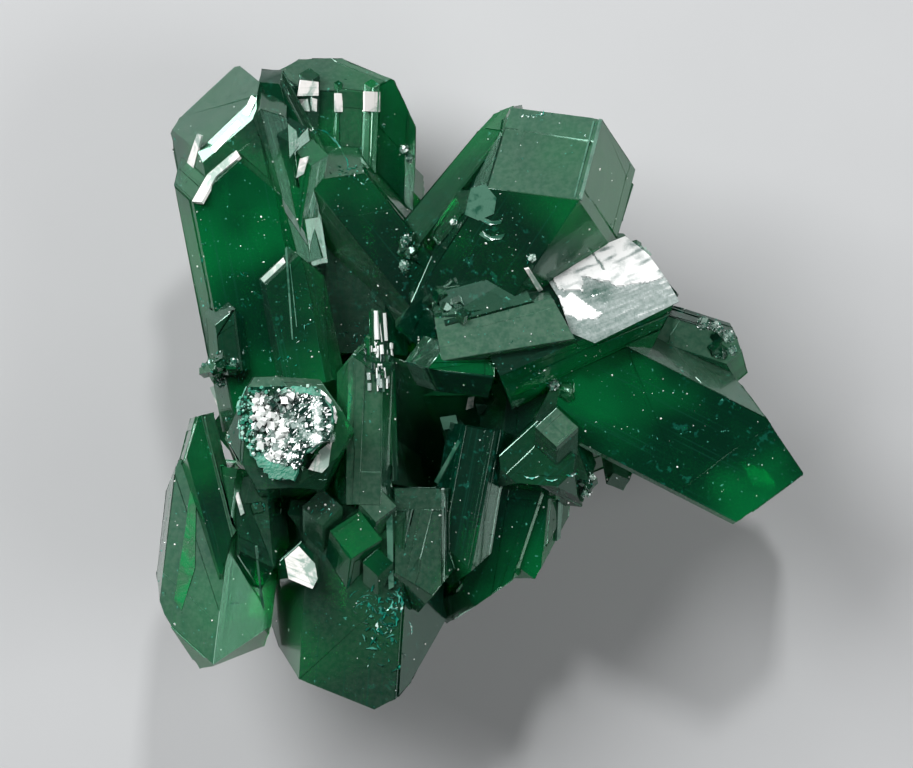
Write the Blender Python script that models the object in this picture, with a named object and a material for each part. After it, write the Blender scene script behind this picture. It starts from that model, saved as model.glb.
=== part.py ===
"""Dioptase: a cluster of short, stout emerald-green crystals that grew together.

Every crystal is the mineral's own form: a hexagonal prism ended by a rhombohedron, whose faces
lean at fixed angles to the long axis. Each one starts as a block that is trimmed by those planes.
The crystals are then joined in one solid, and cut flat where the cluster grew on its rock.
The cluster lies on that cut, so the side that shows best looks straight up, along +Z.
"""

import math
import random

import bmesh
import bpy
from mathutils import Vector
from mathutils.bvhtree import BVHTree

MM = 0.001

# The form of dioptase, from its axial ratio
AXIAL_RATIO = 0.534
PRISM_SIDES = 6
CAP_FACES = 3
PRISM_STEP = 360.0 / PRISM_SIDES
CAP_STEP = 360.0 / CAP_FACES
CAP_TURN = PRISM_STEP / 2.0
CAP_POLAR = math.degrees(math.atan(2.0 * AXIAL_RATIO / math.cos(math.radians(CAP_TURN))))

# The block that each crystal is trimmed from, larger than the whole cluster
BLOCK_SIZE = 60.0

# The small crystals of a crusted patch
SMALL_WIDTHS = (0.6, 1.3)
SMALL_RISES = (40.0, 85.0)
SMALL_LENGTH = 2.2
SMALL_TIP = 0.5

# The needles, in a row that steps back as it goes right
NEEDLE_TOPS = (1.0, 1.8, 2.85, 2.8, 1.35, 1.1, 0.5)
NEEDLE_START = -4.5
NEEDLE_STEP = 0.19
NEEDLE_HEIGHT = 10.0
NEEDLE_DROP = 0.05
NEEDLE_WIDTH = 0.24

# The finish: clear emerald green
CLUSTER_NAME = "dioptase_cluster"
EMERALD = (0.004, 0.30, 0.13, 1.0)
POLISH = 0.08
CLEARNESS = 0.9
REFRACTION = 1.66


def empty_scene():
    for old in list(bpy.data.objects):
        bpy.data.objects.remove(old, do_unlink=True)


def make_collection(name):
    found = bpy.data.collections.new(name)
    bpy.context.scene.collection.children.link(found)
    return found


def direction(heading, lift):
    """A unit vector: heading is turned from +X toward +Y, lift is raised toward +Z."""
    turn = math.radians(heading)
    up = math.radians(lift)
    return Vector((math.cos(up) * math.cos(turn), math.cos(up) * math.sin(turn), math.sin(up)))


def trim(mesh, point, normal):
    """Cuts away what lies beyond a plane and closes the cut with one flat face."""
    parts = mesh.verts[:] + mesh.edges[:] + mesh.faces[:]
    cut = bmesh.ops.bisect_plane(
        mesh, geom=parts, dist=1e-7, plane_co=point, plane_no=normal, clear_outer=True
    )
    rim = [item for item in cut["geom_cut"] if isinstance(item, bmesh.types.BMEdge)]
    if rim:
        bmesh.ops.edgeloop_fill(mesh, edges=rim)


def crystal(name, tip, heading, rise, spin, width, length, sides=None, caps=None, cuts=()):
    """One crystal, in millimetres.

    Its long axis runs through tip, toward heading in plan and rise above it. spin turns it about
    that axis. width is across its flats. sides gives a prism face its own distance from the axis,
    caps moves an end face out or in, and cuts holds broken faces as (point, heading, lift).
    """
    axis = direction(heading, rise)
    front = direction(heading, rise + 90.0)
    right = axis.cross(front)
    tip = Vector(tip)
    mesh = bmesh.new()
    bmesh.ops.create_cube(mesh, size=BLOCK_SIZE)
    bmesh.ops.translate(mesh, vec=tip, verts=mesh.verts)
    sides = sides or {}
    caps = caps or {}
    for number in range(PRISM_SIDES):
        turn = math.radians(spin + PRISM_STEP * number)
        outward = front * math.cos(turn) + right * math.sin(turn)
        distance = sides.get(number, width / 2.0)
        trim(mesh, tip + outward * distance, outward)
    for number in range(CAP_FACES):
        turn = math.radians(spin + CAP_TURN + CAP_STEP * number)
        sideways = front * math.cos(turn) + right * math.sin(turn)
        polar = math.radians(CAP_POLAR)
        outward = sideways * math.sin(polar) + axis * math.cos(polar)
        trim(mesh, tip + outward * caps.get(number, 0.0), outward)
    trim(mesh, tip - axis * length, -axis)
    for point, cut_heading, cut_lift in cuts:
        trim(mesh, Vector(point), direction(cut_heading, cut_lift))
    bmesh.ops.scale(mesh, vec=(MM, MM, MM), verts=mesh.verts)
    bmesh.ops.triangulate(mesh, faces=mesh.faces[:])
    data = bpy.data.meshes.new(name)
    mesh.to_mesh(data)
    mesh.free()
    return bpy.data.objects.new(name, data)


def upward_facet(name, tip, heading, width, length, cuts=()):
    """A crystal that leans so that one of its end faces looks straight up."""
    return crystal(name, tip, heading, 90.0 - CAP_POLAR, -CAP_TURN, width, length, cuts=cuts)


def upper_left_crystals():
    """The tall crystal at the upper left: one big one with parallel ones in front of it."""
    lean = 101.0
    return [
        crystal("left_tall", tip=(-9.6, 12.75, 7.3), heading=lean, rise=2, spin=-60, width=5.54,
                length=13.0, sides={1: 2.0, 2: 1.35, 3: 1.6},
                cuts=[((-9.9, 9.65, 9.15), 133, 66), ((-12.0, 10.5, 7), 150, 0),
                      ((-9.5, 12.66, 7), 98, 0)]),
        crystal("left_front", tip=(-10.2, 10.17, 7.45), heading=lean, rise=2, spin=-60, width=5.0,
                length=12.0, sides={1: 2.2, 0: 2.5, 5: 1.5}, caps={0: 0.34, 1: -0.56}),
        crystal("left_low", tip=(-7.9, 5.7, 8.7), heading=lean, rise=2, spin=-60, width=2.6, length=6.0,
                sides={1: 1.2}),
        crystal("left_side", tip=(-10.05, 3.3, 9.1), heading=97, rise=0, spin=-60, width=1.5, length=3.0),
    ]


def upper_back_crystals():
    """The broad crystal behind, with ribs down its front."""
    ribs = [
        crystal("rib", tip=(x, top, 7.2), heading=88, rise=-2, spin=-30, width=wide, length=4.0)
        for x, top, wide in ((-6.7, 12.6, 0.85), (-5.55, 12.1, 0.34), (-4.2, 12.15, 0.6))
    ]
    return ribs + [
        crystal("back_tall", tip=(-5.6, 14.0, 5.2), heading=88, rise=-4, spin=-30, width=6.6, length=13.0,
                sides={0: 2.4, 1: 2.4},
                cuts=[((-5.6, 11.0, 7.4), 0, 90), ((-6.2, 13.05, 6), 92, 0), ((-4.0, 12.45, 6), 66, 0),
                      ((-2.9, 11.3, 6), 25, 0), ((-7.9, 12.8, 6), 108, 0)]),
    ]


def upper_middle_crystals():
    """Small crystals wedged between the two tall ones, and the dark one below them."""
    return [
        crystal("middle_dark", tip=(-7.1, 9.5, 7.4), heading=129, rise=8, spin=10, width=3.4, length=9.0),
        crystal("middle_a", tip=(-8.6, 12.5, 8.0), heading=118, rise=4, spin=0, width=1.2, length=6.0),
        crystal("middle_b", tip=(-8.6, 11.5, 8.7), heading=104, rise=8, spin=20, width=1.7, length=7.0),
        crystal("middle_c", tip=(-7.5, 10.5, 8.9), heading=98, rise=12, spin=-25, width=1.4, length=6.0),
        crystal("middle_d", tip=(-6.5, 9.6, 9.0), heading=80, rise=15, spin=-20, width=1.3, length=6.0),
    ]


def upper_right_crystals():
    """The stout crystal at the upper right, with a narrow one behind it."""
    return [
        crystal("right_tall", tip=(4.96, 10.3, 10.6), heading=56, rise=27, spin=48.5, width=5.8,
                length=11.5),
        crystal("right_behind", tip=(1.7, 11.6, 7.6), heading=52, rise=12, spin=48.5, width=3.6, length=9.0,
                cuts=[((-0.6, 9.1, 7), 140, 0), ((1.2, 10.85, 7), 112, 0)]),
        crystal("right_small", tip=(0.1, 7.6, 9.6), heading=56, rise=40, spin=-30, width=1.3, length=3.0),
    ]


def right_crystals():
    """The crystals that point right: the bright one, its two ledges, and the large dark one."""
    return [
        crystal("silver", tip=(9.2, 5.4, 6.7), heading=24, rise=-2, spin=55, width=5.9, length=9.8,
                sides={4: 3.5, 3: 0.5},
                cuts=[((7.1, 4.5, 6.5), 41, 0)]),
        crystal("ledge_up", tip=(4.5, 3.98, 9.0), heading=15, rise=0, spin=-20, width=2.4, length=6.0,
                caps={0: 1, 1: 1, 2: 1},
                cuts=[((2.35, 3.75, 9), 40, 0), ((2.25, 3.65, 9.9), 40, 40)]),
        crystal("ledge_low", tip=(5.4, 2.7, 8.9), heading=9.5, rise=0, spin=0, width=2.4, length=7.0,
                sides={0: 1.4, 5: 1.5, 1: 1.4}, caps={0: 1, 1: 1, 2: 1},
                cuts=[((3.5, 2.35, 9), 29, 0)]),
        crystal("far_right", tip=(11.6, 0.75, 6.0), heading=-18, rise=0, spin=0, width=1.9, length=5.0,
                cuts=[((10.6, 1.6, 6), 20, 0)]),
        crystal("lower_right", tip=(13.93, -5.08, 5.9), heading=-27, rise=-2, spin=0, width=4.6,
                length=12.0, sides={0: 2.3, 1: 3.0, 5: 3.0, 2: 0.95, 4: 2.5}, caps={0: 1.5, 2: 0.3},
                cuts=[((12.3, -2.55, 7), 34, 0), ((11.6, -4.85, 7), -54, 0)]),
        crystal("nub", tip=(6.0, -4.5, 6.0), heading=-80, rise=0, spin=0, width=1.1, length=3.0),
    ]


def centre_crystals():
    """The short crystals in the hollow at the middle, and the dark ones under it."""
    return [
        crystal("green_heart", tip=(-2.8, 0.75, 9.6), heading=174, rise=12, spin=20, width=2.0, length=3.4),
        upward_facet("grey_plate", tip=(3.2, -1.1, 9.6), heading=90, width=1.7, length=4.0),
        upward_facet("green_plate", tip=(2.5, -1.65, 9.0), heading=90, width=3.6, length=4.0,
                cuts=[((2.5, -4.2, 9), -95, 20), ((0.95, -3.3, 9), 185, 15), ((3.95, -3.3, 9), -5, 15)]),
        crystal("plate_foot", tip=(4.3, -4.9, 7.6), heading=-70, rise=5, spin=0, width=1.8, length=4.0),
        crystal("dark_a", tip=(0.9, -1.2, 8.0), heading=-15, rise=20, spin=0, width=0.9, length=3.0),
        upward_facet("dark_b", tip=(-1.0, -1.4, 8.0), heading=100, width=0.9, length=3.0),
        crystal("wedge", tip=(-1.0, -8.3, 8.0), heading=-101, rise=0, spin=0, width=2.3, length=6.5),
        crystal("shade", tip=(1.5, -9.2, 6.0), heading=-95, rise=-3, spin=0, width=3.4, length=9.0,
                cuts=[((2, -8.0, 6), -90, 0), ((3.0, -6.9, 6), -30, 0)]),
        crystal("shade_low", tip=(-0.4, -10.8, 6.2), heading=-108, rise=-3, spin=0, width=3.2, length=8.0,
                cuts=[((0.1, -9.0, 6), -55, 0)]),
    ]


def upright_crystals():
    """The flat-fronted crystal that stands at the middle, and the one that points down from it."""
    return [
        crystal("upright", tip=(-4.35, 1.6, 9.6), heading=89, rise=3, spin=0, width=1.9, length=6.5,
                sides={0: 0.9, 1: 1.05, 5: 1.05}),
        crystal("upright_low", tip=(-2.3, -9.3, 8.6), heading=-90, rise=0, spin=0, width=2.4, length=5.0,
                sides={0: 1.0, 1: 1.3, 5: 1.3}),
    ]


def pale_end_crystal():
    """The crystal that points at the viewer and ends in a rough, glittering break."""
    return [
        crystal("glitter", tip=(-7.4, -1.65, 13.5), heading=92, rise=80, spin=0, width=4.4, length=9.0,
                cuts=[((-7.4, -2.0, 11.4), 60, 88), ((-7.5, -0.3, 11.4), 90, 48)]),
    ]


def lower_left_crystals():
    """The large crystal that points down at the left, with a thin blade on it."""
    return [
        crystal("blade", tip=(-10.0, -8.7, 8.6), heading=-76, rise=0, spin=0, width=2.1, length=7.3,
                sides={0: 1.0, 1: 1.25, 5: 1.25},
                cuts=[((-9.7, -6.6, 9), -14, 10), ((-9.72, -3.3, 9.5), 20, 30),
                      ((-11.6, -3.0, 9), 164, 10), ((-10.85, -5.8, 9.3), 196, 20)]),
        crystal("leftmost", tip=(-11.1, -12.8, 6.6), heading=-97, rise=-2, spin=20, width=4.6, length=9.5,
                cuts=[((-12.6, -4.5, 7), 150, 0), ((-13.0, -6.5, 7), 180, 0), ((-12.6, -9.0, 7), 200, 0),
                      ((-11.7, -10.6, 7), 212, 0), ((-10.3, -11.35, 7), -73, 0)]),
        crystal("dark_block", tip=(-8.6, -8.4, 8.6), heading=-85, rise=5, spin=0, width=2.2, length=4.5),
    ]


def bottom_crystals():
    """The large crystal that points down, and the small facets where it leaves the cluster."""
    return [
        crystal("bottom_large", tip=(-4.9, -14.6, 4.2), heading=-94, rise=-12, spin=7.5, width=6.8,
                length=10.5, caps={0: 1.5, 1: 1.5, 2: 1.5},
                cuts=[((-6.2, -12.4, 8), -110, -20), ((-3.0, -12.5, 8), -58, -20),
                      ((-1.7, -11.2, 8), -38, -20), ((-8.5, -11.2, 8), -145, -15)]),
        upward_facet("white_facet", tip=(-6.95, -6.45, 9.5), heading=90, width=1.75, length=3.0,
                cuts=[((-6.3, -7.3, 9), -5, 20), ((-7.0, -8.0, 9), -95, 15)]),
        upward_facet("facet_a", tip=(-3.85, -4.25, 10.15), heading=85, width=1.5, length=3.0),
        upward_facet("facet_b", tip=(-6.1, -4.3, 10.0), heading=90, width=1.6, length=3.0),
        upward_facet("facet_c", tip=(-7.35, -4.75, 9.6), heading=125, width=0.9, length=2.0),
        upward_facet("facet_d", tip=(-8.55, -4.85, 9.5), heading=60, width=0.55, length=2.0),
        upward_facet("facet_e", tip=(-3.9, -6.7, 9.75), heading=90, width=1.2, length=2.0),
        upward_facet("green_block", tip=(-4.6, -5.2, 9.95), heading=80, width=2.1, length=4.0),
    ]


def needles():
    """The bundle of thin prisms at the middle."""
    made = []
    for place, top in enumerate(NEEDLE_TOPS):
        tip = (NEEDLE_START + NEEDLE_STEP * place, top, NEEDLE_HEIGHT - NEEDLE_DROP * place)
        made.append(crystal("needle", tip=tip, heading=92, rise=2, spin=0, width=NEEDLE_WIDTH, length=4.5))
    return made


def skin_of(crystals):
    """The faces of the large crystals, to find how high they are under a point."""
    points = []
    faces = []
    for grown in crystals:
        first = len(points)
        points.extend(vertex.co / MM for vertex in grown.data.vertices)
        faces.extend([first + corner for corner in face.vertices] for face in grown.data.polygons)
    return BVHTree.FromPolygons(points, faces)


def druse(skin, centre, spread, count, size, seed):
    """A patch of small crystals seated on the skin, which point up and outward every way."""
    chance = random.Random(seed)
    made = []
    for _ in range(count):
        around = math.degrees(chance.uniform(0.0, math.tau))
        reach = math.sqrt(chance.random())
        x = centre[0] + spread[0] * reach * math.cos(math.radians(around))
        y = centre[1] + spread[1] * reach * math.sin(math.radians(around))
        width = size * chance.uniform(*SMALL_WIDTHS)
        rise = chance.uniform(*SMALL_RISES)
        spin = chance.uniform(0.0, CAP_STEP)
        seat = skin.ray_cast(Vector((x, y, BLOCK_SIZE)), Vector((0.0, 0.0, -1.0)))[0]
        if seat:
            tip = seat + Vector((0.0, 0.0, SMALL_TIP * width))
            made.append(crystal("small", tip, around, rise, spin, width, SMALL_LENGTH * width))
    return made


def small_crystals(skin):
    """The crusted patches: on the rough end, beside the needles and in the corners between crystals."""
    patches = (
        ((-7.25, -1.9), (1.75, 1.75), 64, 0.5), ((-10.4, 0.45), (0.9, 0.5), 10, 0.5),
        ((-2.8, 5.2), (0.5, 0.9), 10, 0.4), ((-1.2, 2.8), (0.9, 0.8), 8, 0.5),
        ((6.4, 4.8), (0.35, 0.25), 5, 0.4), ((9.8, 1.4), (0.6, 0.6), 7, 0.45),
        ((3.6, -0.5), (0.5, 0.4), 6, 0.4), ((4.5, -4.2), (0.4, 0.5), 6, 0.4),
    )
    made = []
    for seed, (centre, spread, count, size) in enumerate(patches, start=1):
        made += druse(skin, centre, spread, count, size, seed)
    return made


def back_crystals():
    """The crystals behind, which fan out above the cut, each one turned further than the last."""
    turn_each = 17.0
    places = (
        ("back_a", (-10.0, 8.6, 3.6), 128, 5, 3.8), ("back_b", (-7.0, 10.8, 2.8), 105, 0, 3.6),
        ("back_c", (-3.6, 10.0, 2.5), 82, -2, 3.4), ("back_d", (-11.2, 3.2, 3.3), 165, 0, 3.4),
        ("back_e", (-11.0, -2.0, 3.4), 190, 4, 3.2), ("back_f", (-11.2, -7.6, 3.4), 218, 3, 3.8),
        ("back_g", (-7.2, -10.6, 3.2), 255, 0, 4.2), ("back_h", (-3.2, -10.8, 2.7), 278, -2, 3.4),
        ("back_i", (1.2, -7.4, 2.8), 300, 2, 3.4), ("back_j", (6.5, -3.2, 2.7), 330, -2, 3.6),
        ("back_k", (10.6, -3.6, 3.4), 335, -3, 3.2), ("back_l", (8.6, 1.2, 3.0), 8, 0, 3.6),
        ("back_m", (6.0, 4.0, 3.1), 32, 0, 3.8), ("back_n", (3.6, 8.4, 4.0), 58, 8, 4.0),
        ("back_o", (-0.6, 6.2, 2.6), 72, 0, 3.2),
    )
    return [
        crystal(name, tip=tip, heading=heading, rise=rise, spin=turn_each * number, width=width,
                length=10.0)
        for number, (name, tip, heading, rise, width) in enumerate(places)
    ]


def core_crystals():
    """The crystals at the root, which the others grew from."""
    return [
        crystal("core_a", tip=(-4.0, 1.0, 8.0), heading=80, rise=70, spin=0, width=9.0, length=12.0),
        crystal("core_b", tip=(0.5, -0.6, 7.2), heading=10, rise=76, spin=20, width=7.4, length=12.0),
        crystal("core_c", tip=(-4.8, -4.0, 8.2), heading=-60, rise=70, spin=10, width=6.0, length=12.0),
        crystal("core_d", tip=(-5.0, 5.0, 7.4), heading=120, rise=60, spin=10, width=6.0, length=12.0),
    ]


def make_rock():
    """The block whose top is the plane where the cluster was cut from its rock."""
    mesh = bmesh.new()
    bmesh.ops.create_cube(mesh, size=BLOCK_SIZE * MM)
    bmesh.ops.translate(mesh, vec=(0.0, 0.0, -BLOCK_SIZE * MM / 2.0), verts=mesh.verts)
    data = bpy.data.meshes.new("rock")
    mesh.to_mesh(data)
    mesh.free()
    return bpy.data.objects.new("rock", data)


def keep_outer_skin(mesh):
    """Drops the walls of voids shut in between crystals, and anything that grew free of the rest."""
    unseen = set(mesh.faces)
    skins = []
    while unseen:
        waiting = [unseen.pop()]
        skin = []
        while waiting:
            face = waiting.pop()
            skin.append(face)
            for edge in face.edges:
                for beside in edge.link_faces:
                    if beside in unseen:
                        unseen.remove(beside)
                        waiting.append(beside)
        skins.append(skin)
    skins.sort(key=len)
    for skin in skins[:-1]:
        bmesh.ops.delete(mesh, geom=skin, context="FACES")


def emerald_green():
    material = bpy.data.materials.new("emerald_green")
    material.use_nodes = True
    shader = material.node_tree.nodes["Principled BSDF"]
    shader.inputs["Base Color"].default_value = EMERALD
    shader.inputs["Roughness"].default_value = POLISH
    shader.inputs["Metallic"].default_value = 0.0
    shader.inputs["Transmission Weight"].default_value = CLEARNESS
    shader.inputs["IOR"].default_value = REFRACTION
    return material


def all_crystals():
    large = (
        core_crystals() + upper_left_crystals() + upper_back_crystals() + upper_middle_crystals()
        + upper_right_crystals() + right_crystals() + centre_crystals() + upright_crystals()
        + pale_end_crystal() + lower_left_crystals() + bottom_crystals()
    )
    return large + small_crystals(skin_of(large)) + needles() + back_crystals()


def join_and_cut(crystals, rock):
    """One mesh of all the crystals, ended where the rock was."""
    base = crystals[0]
    joined = make_collection("crystals")
    joined.hide_render = True
    cutters = make_collection("cutters")
    cutters.hide_render = True
    for grown in crystals[1:]:
        joined.objects.link(grown)
    for tool in (base, rock):
        cutters.objects.link(tool)
    for hidden in crystals + [rock]:
        hidden.hide_render = True
        hidden.display_type = "WIRE"
    union = base.modifiers.new("joined", "BOOLEAN")
    union.operation = "UNION"
    union.solver = "EXACT"
    union.operand_type = "COLLECTION"
    union.collection = joined
    cut = base.modifiers.new("cut flat", "BOOLEAN")
    cut.operation = "DIFFERENCE"
    cut.solver = "EXACT"
    cut.object = rock
    mesh = bmesh.new()
    mesh.from_object(base, bpy.context.evaluated_depsgraph_get())
    return mesh


def build_cluster():
    mesh = join_and_cut(all_crystals(), make_rock())
    keep_outer_skin(mesh)
    data = bpy.data.meshes.new(CLUSTER_NAME)
    mesh.to_mesh(data)
    mesh.free()
    data.materials.append(emerald_green())
    cluster = bpy.data.objects.new(CLUSTER_NAME, data)
    make_collection(CLUSTER_NAME).objects.link(cluster)


empty_scene()
build_cluster()
bpy.context.view_layer.update()
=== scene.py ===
"""The looks of the dioptase cluster: cloudy emerald crystals on a pale floor, seen from straight above."""

import math
import random

import bmesh
import bpy
from mathutils import Euler, Matrix, Vector, noise
from mathutils.bvhtree import BVHTree


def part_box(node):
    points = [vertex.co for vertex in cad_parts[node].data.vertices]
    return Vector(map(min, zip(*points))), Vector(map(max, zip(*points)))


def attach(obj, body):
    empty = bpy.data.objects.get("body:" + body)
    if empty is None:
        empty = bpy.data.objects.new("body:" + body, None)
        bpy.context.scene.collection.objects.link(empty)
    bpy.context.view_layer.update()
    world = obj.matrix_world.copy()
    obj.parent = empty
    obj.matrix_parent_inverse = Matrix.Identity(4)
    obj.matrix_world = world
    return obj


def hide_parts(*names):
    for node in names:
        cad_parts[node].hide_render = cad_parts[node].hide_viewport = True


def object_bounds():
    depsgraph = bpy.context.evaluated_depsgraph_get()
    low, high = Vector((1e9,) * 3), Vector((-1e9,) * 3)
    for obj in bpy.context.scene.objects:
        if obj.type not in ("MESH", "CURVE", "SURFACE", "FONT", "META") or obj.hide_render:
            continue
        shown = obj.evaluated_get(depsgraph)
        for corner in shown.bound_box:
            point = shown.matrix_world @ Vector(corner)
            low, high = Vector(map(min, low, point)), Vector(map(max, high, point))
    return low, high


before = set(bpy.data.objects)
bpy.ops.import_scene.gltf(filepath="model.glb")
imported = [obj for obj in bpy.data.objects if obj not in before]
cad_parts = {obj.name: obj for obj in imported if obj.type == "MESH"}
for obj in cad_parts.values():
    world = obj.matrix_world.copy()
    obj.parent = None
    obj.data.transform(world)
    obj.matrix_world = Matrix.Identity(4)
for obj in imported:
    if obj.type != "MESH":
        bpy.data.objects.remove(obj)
cad_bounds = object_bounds()

MM = 0.001
NODE = "dioptase_cluster"

# The photo's frame, which the camera repeats: 25 of its pixels are a millimetre
PHOTO_WIDTH = 913
PHOTO_HEIGHT = 768
PIXELS_PER_MM = 25.0
PIXEL_AT_ORIGIN = (476.0, 380.0)
FOCUS_HEIGHT = 8.5
LENS = 150.0
SENSOR = 36.0
NEAREST_SEEN = 0.005

# Soft boxes, by name: place and width in millimetres, and power
SOFT_BOXES = (
    ("key light", (-160, 120, 160), 150, 1.3),
    ("glint light", (20, 190, 190), 26, 0.45),
    ("fill light", (170, -60, 120), 140, 0.4),
)
LIT_POINT = Vector((0.0, 0.0, 5.0))
AIR_COLOUR = (0.9, 0.95, 1.0, 1.0)
AIR_STRENGTH = 0.03
FLOOR_REACH = 600.0
FLOOR_TONES = ((0.298, 0.303, 0.308, 1.0), (0.31, 0.315, 0.32, 1.0))

# How dioptase bends and swallows light, and how deep its finest relief is, in millimetres
REFRACTION = 1.66
CLEARNESS = 0.7
BUMP_DEPTH = 0.02
SWALLOWED = (0.003, 0.86, 0.62, 1.0)
SWALLOWED_DENSITY = 600.0

# The crystals' colours
DEEP_GREEN = (0.0005, 0.03, 0.016, 1.0)
# Brighter green of the clouds inside, and painted inner light where a crystal seems lit through
CLOUD_AND_PAINTED_GLOW_GREEN = (0.0004, 0.24, 0.06, 1.0)
LINE_GREEN = (0.015, 0.16, 0.1, 1.0)
FLECK_TEAL = (0.015, 0.26, 0.18, 1.0)
SPECK_TEAL = (0.1, 0.5, 0.37, 1.0)
# Pale grey-green of etching with a painted sheen of the soft light on it, and its darker lines
ETCHED_SHEEN_LOW = (0.07, 0.2, 0.125, 1.0)
ETCHED_SHEEN_HIGH = (0.15, 0.29, 0.2, 1.0)
ETCHED_SHEEN_LINE = (0.03, 0.14, 0.085, 1.0)
SKIN_TINT = (0.45, 0.9, 0.7, 1.0)

# The colours of steps, ledges and strips, from low to high
# The steps' pale colour is a painted highlight of the lamp on them
STEP_HIGHLIGHT_COLOURS = ((0.22, 0.3, 0.26, 1.0), (0.64, 0.62, 0.6, 1.0))
PALE_LEDGE = ((0.008, 0.06, 0.035, 1.0), (0.05, 0.13, 0.09, 1.0))
GREEN_STRIP = ((0.0004, 0.07, 0.02, 1.0), (0.0006, 0.13, 0.035, 1.0))

# The colours of crusts, each from the tone where it starts
# The silver break's whitest tones are partly its pale broken surface and partly a painted highlight
SILVER_AND_HIGHLIGHT_TONES = (
    (0.0, (0.02, 0.07, 0.05, 1.0)), (0.3, (0.12, 0.165, 0.15, 1.0)), (0.6, (0.27, 0.31, 0.3, 1.0)),
    (0.9, (0.66, 0.67, 0.66, 1.0)),
)
# The glitter's white tones are painted glints
GLITTER_PAINTED_GLINT_TONES = (
    (0.0, (0.004, 0.02, 0.014, 1.0)), (0.35, (0.05, 0.1, 0.08, 1.0)), (0.5, (0.22, 0.28, 0.26, 1.0)),
    (0.66, (0.56, 0.59, 0.57, 1.0)),
)
CRUMB_TONES = (
    (0.0, (0.006, 0.1, 0.06, 1.0)), (0.35, (0.04, 0.22, 0.15, 1.0)), (0.65, (0.16, 0.36, 0.29, 1.0)),
    (0.95, (0.45, 0.58, 0.52, 1.0)),
)
CHIP_TONES = (
    (0.0, (0.001, 0.07, 0.045, 1.0)), (0.4, (0.005, 0.17, 0.12, 1.0)), (0.7, (0.06, 0.28, 0.22, 1.0)),
    (0.92, (0.42, 0.54, 0.5, 1.0)),
)
GRAIN_TONES = (
    (0.0, (0.004, 0.05, 0.03, 1.0)), (0.5, (0.05, 0.14, 0.1, 1.0)), (0.9, (0.32, 0.42, 0.37, 1.0)),
)
DUST_TONES = ((0.0, (0.3, 0.34, 0.32, 1.0)), (0.6, (0.75, 0.75, 0.72, 1.0)))

# Growth terraces on the flat faces, in millimetres
TERRACE_AREA = 0.8
TERRACE_COUNTS = (0, 1, 2, 3)
TERRACE_REACH = (0.06, 0.3)
TERRACE_HEIGHTS = (0.012, 0.045)
TERRACE_LEDGE = 0.02
TERRACE_TILT = 0.01
TERRACE_JAGS = (0, 0, 2, 4, 6)
TERRACE_JAG = 0.07
TERRACE_WAYS = (-1.0, 1.0, 1.0)
JAGGED_FROM = 0.84
CUT_FACE = -0.95

# Flat faces: the degrees within which two are one, and how much of a growth direction has to lie in one
SAME_FACE_ANGLE = 0.2
LEAST_ALONG = 0.1

# Worn crystal edges and their nicks, in degrees and millimetres
EDGE_ANGLE = 20.0
EDGE_WEAR = 0.025
WEAR_STEP = 0.45
WEAR_DEPTH = 0.025
NICK_SHARE = 0.07
NICK_DEPTH = 0.12

# How much etching a face has, with a painted grey sheen of the soft light on it, and how much painted
# inner light, by a point on it seen from above, in millimetres
FACE_LOOKS = (
    ((-10.5, 10.3), 0.55, 0.0), ((-5.3, 12.2), 0.65, 0.0), ((-5.0, 10.8), 0.35, 0.0),
    ((-9.4, 5.0), 0.0, 0.4), ((3.2, 8.6), 0.75, 0.0), ((1.5, 7.0), 0.05, 0.3), ((2.4, 2.2), 1.25, 0.0),
    ((0.8, 3.6), 0.12, 0.5), ((3.0, 1.0), 0.0, 0.9), ((-4.2, -1.5), 0.75, 0.0), ((-10.4, -3.0), 0.8, 0.2),
    ((-12.0, -5.0), 0.7, 0.1), ((3.3, -1.8), 1.0, 0.0), ((2.4, -3.4), 0.1, 0.5), ((8.0, 0.4), 0.6, 0.0),
    ((9.3, 1.9), 0.85, 0.0), ((8.0, -3.0), 0.0, 0.4), ((-1.5, 0.6), 0.0, 1.0), ((-3.6, -4.8), 0.9, 0.0),
    ((-6.1, -4.9), 0.4, 0.3), ((-2.4, -6.0), 0.45, 0.1), ((-6.0, -9.0), 0.2, 0.1),
    ((-4.3, -11.0), 0.3, 0.1), ((-8.6, -6.3), 0.1, 0.1), ((-5.4, 6.5), 0.05, 0.2),
    ((-7.0, 3.0), 0.05, 0.4), ((-4.5, -6.0), 0.15, 0.7), ((-7.4, -2.0), 0.9, 0.2), ((-7.8, 0.0), 0.9, 0.0),
    ((-6.6, 0.0), 0.9, 0.0), ((0.0, -4.8), 0.0, 0.0), ((1.6, -5.0), 0.0, 0.1), ((0.6, -6.2), 0.0, 0.0),
    ((-1.0, -5.4), 0.05, 0.1), ((2.2, -6.3), 0.0, 0.2), ((-0.6, -6.8), 0.05, 0.1),
    ((-0.9, -3.4), 0.0, 0.0),
)
# The other faces: a little etching with painted sheen, and a little painted inner light, at random
ETCH_AND_SHEEN_ELSEWHERE = (0.0, 0.5)
PAINTED_GLOW_ELSEWHERE = (0.0, 0.5)

# Rays that find places on the crystals, from above or from around, in millimetres
DOWN = Vector((0.0, 0.0, -1.0))
FAR = 60.0
RAY_NUDGES = (0.0, 0.011, -0.017, 0.031)
RAY_TARGETS = ((-9.0, 8.0), (-9.0, 9.0), (1.0, 10.0))

# A chip's measures, as shares of its size
CHIP_LENGTH = 1.7
CHIP_WIDTH = 0.6
CHIP_CURL = 0.12
CHIP_TOP = 0.16
CHIP_ROOT = 0.25

# A crack's lip, and how far lips and sheets reach into the crystal, in millimetres
CRACK_STEPS = 9
CRACK_LEAST = 0.004
CRACK_LIP = 0.012
CRACK_ROOT = 0.05
SHEET_ROOT = 0.2


def link(thing):
    bpy.context.scene.collection.objects.link(thing)
    return thing


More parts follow.
